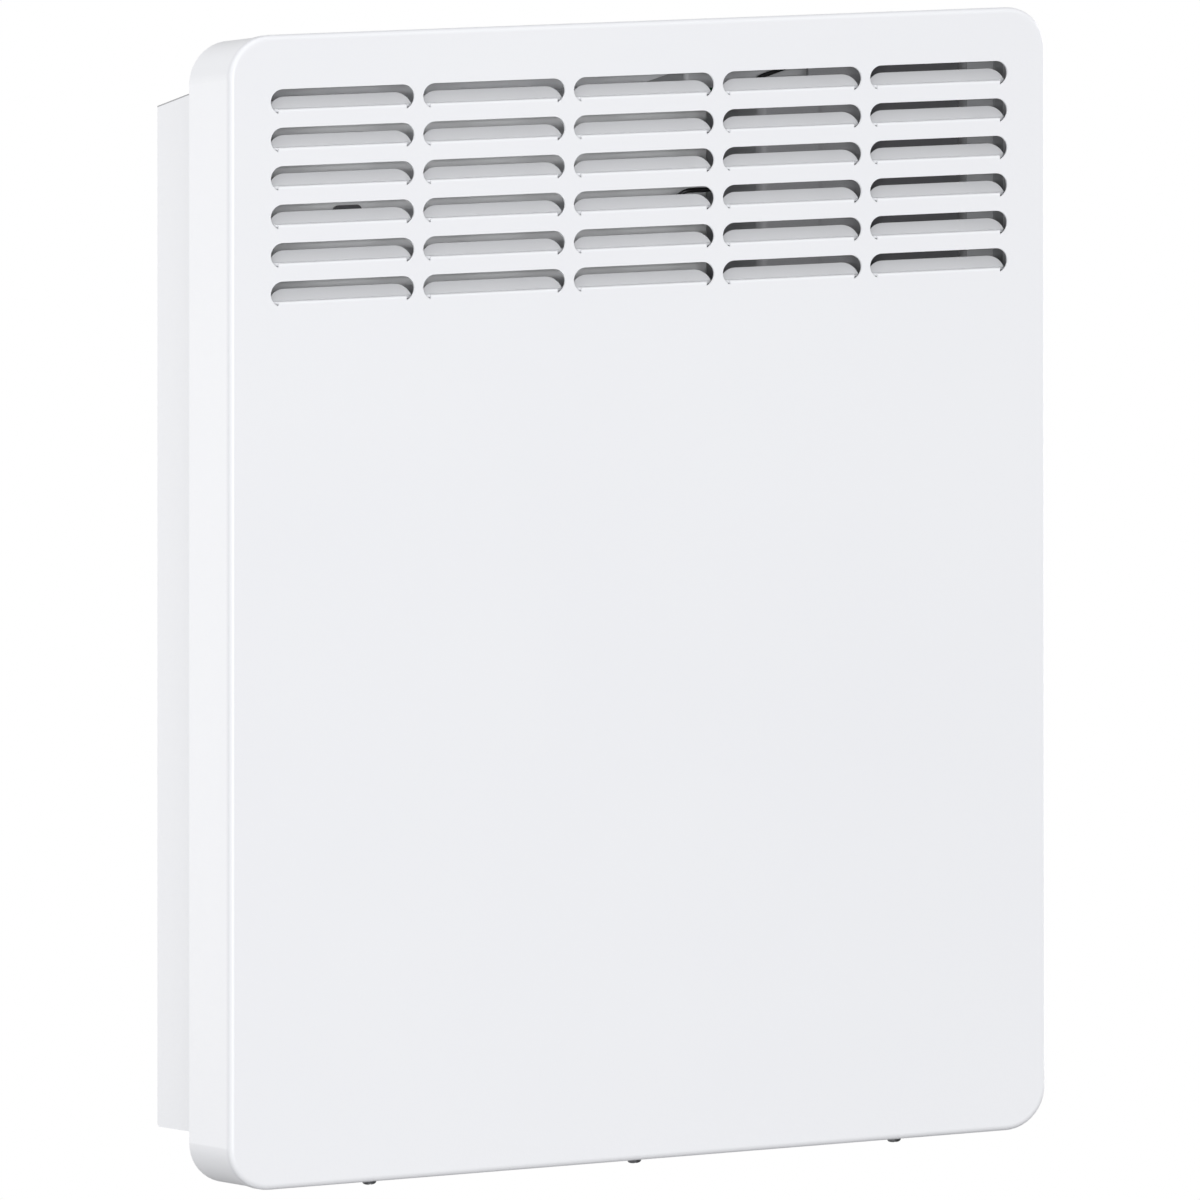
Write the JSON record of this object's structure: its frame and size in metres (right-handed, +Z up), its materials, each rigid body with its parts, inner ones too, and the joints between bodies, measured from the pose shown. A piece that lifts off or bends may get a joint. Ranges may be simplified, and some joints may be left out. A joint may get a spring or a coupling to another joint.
{
  "type": "wall-hung convector heater",
  "caption": "Flat white wall-hung convector heater with a louvred front cover, a stepped rear housing, a control panel on top, a side rocker switch and a hook-on wall bracket.",
  "frame": {"origin": "middle of the four wall screws, on the wall plane", "axes": "+X to the right as the user faces the heater, +Y into the wall, +Z up"},
  "size_m": [0.348, 0.123, 0.4519],
  "materials": {
    "white_coat": "satin powder coat",
    "galvanised": "dull zinc-coated sheet",
    "bracket_coat": "dull grey powder coat",
    "plated_steel": "bright zinc plate",
    "element_steel": "dull stainless sheath",
    "fin_aluminium": "plain rolled sheet",
    "terminal_brass": "tinned brass",
    "bead_ceramic": "unglazed ceramic",
    "dark_plastic": "fine spark texture",
    "box_plastic": "fine spark texture",
    "fascia_plastic": "fine spark texture",
    "button_plastic": "smooth satin",
    "window_plastic": "polished",
    "switch_plastic": "smooth",
    "board_laminate": "solder mask",
    "component_plastic": "moulded",
    "natural_nylon": "moulded",
    "wire_brown": "wire insulation",
    "wire_blue": "wire insulation",
    "wire_green": "wire insulation",
    "wire_black": "wire insulation"
  },
  "bodies": {
    "heater": {"front_cover": "white_coat", "rear_housing": "white_coat", "rear_panel": "white_coat", "heat_shield": "galvanised", "partition": "galvanised", "heat_deflector": "galvanised", "element_bracket": "galvanised", "fuse_clip": "galvanised", "wall_bracket": "bracket_coat", "cover_screws": "plated_steel", "bracket_lock_screw": "plated_steel", "control_box_screws": "plated_steel", "terminal_block_screws": "plated_steel", "earth_screw": "plated_steel", "panel_rivets": "plated_steel", "shield_rivets": "plated_steel", "limiter_rivets": "plated_steel", "heating_tube": "element_steel", "element_pins": "element_steel", "heating_fins": "fin_aluminium", "limiter_cap": "fin_aluminium", "limiter_spades": "terminal_brass", "switch_spades": "terminal_brass", "terminal_screws": "terminal_brass", "earth_terminal": "terminal_brass", "element_beads": "bead_ceramic", "limiter_base": "dark_plastic", "room_sensor": "dark_plastic", "cable_gland": "dark_plastic", "gland_nut": "dark_plastic", "thermal_fuse": "dark_plastic", "control_box": "box_plastic", "control_fascia": "fascia_plastic", "display_window": "window_plastic", "switch_body": "switch_plastic", "power_board": "board_laminate", "control_board": "board_laminate", "power_relay": "component_plastic", "capacitor": "component_plastic", "key_switches": "component_plastic", "display_module": "component_plastic", "terminal_block": "natural_nylon", "sensor_clip": "natural_nylon", "wire_live": "wire_brown", "wire_switched": "wire_brown", "wire_limiter": "wire_brown", "wire_element": "wire_brown", "wire_neutral": "wire_blue", "wire_return": "wire_blue", "wire_earth": "wire_green", "sensor_lead": "wire_black", "fuse_lead": "wire_black", "display_lead": "wire_black"},
    "button_menu": {"button_menu": "button_plastic"},
    "button_minus": {"button_minus": "button_plastic"},
    "button_plus": {"button_plus": "button_plastic"},
    "button_ok": {"button_ok": "button_plastic"},
    "switch_rocker": {"switch_rocker": "switch_plastic"}
  },
  "joints": [
    {"name": "button_menu_press", "type": "slide", "parent": "heater", "child": "button_menu", "axis": [0, -0.0948, -0.9955], "range_m": [0, 0.0008], "stiffness_N_per_m": 700, "springref_m": -0.0004},
    {"name": "button_minus_press", "type": "slide", "parent": "heater", "child": "button_minus", "axis": [0, -0.0948, -0.9955], "range_m": [0, 0.0008], "stiffness_N_per_m": 700, "springref_m": -0.0004},
    {"name": "button_plus_press", "type": "slide", "parent": "heater", "child": "button_plus", "axis": [0, -0.0948, -0.9955], "range_m": [0, 0.0008], "stiffness_N_per_m": 700, "springref_m": -0.0004},
    {"name": "button_ok_press", "type": "slide", "parent": "heater", "child": "button_ok", "axis": [0, -0.0948, -0.9955], "range_m": [0, 0.0008], "stiffness_N_per_m": 700, "springref_m": -0.0004},
    {"name": "mains_rocker_tilt", "type": "hinge", "parent": "heater", "child": "switch_rocker", "pos_m": [0.1597, -0.04425, 0.052], "axis": [0, 1, 0], "range_deg": [-16, 0]}
  ]
}
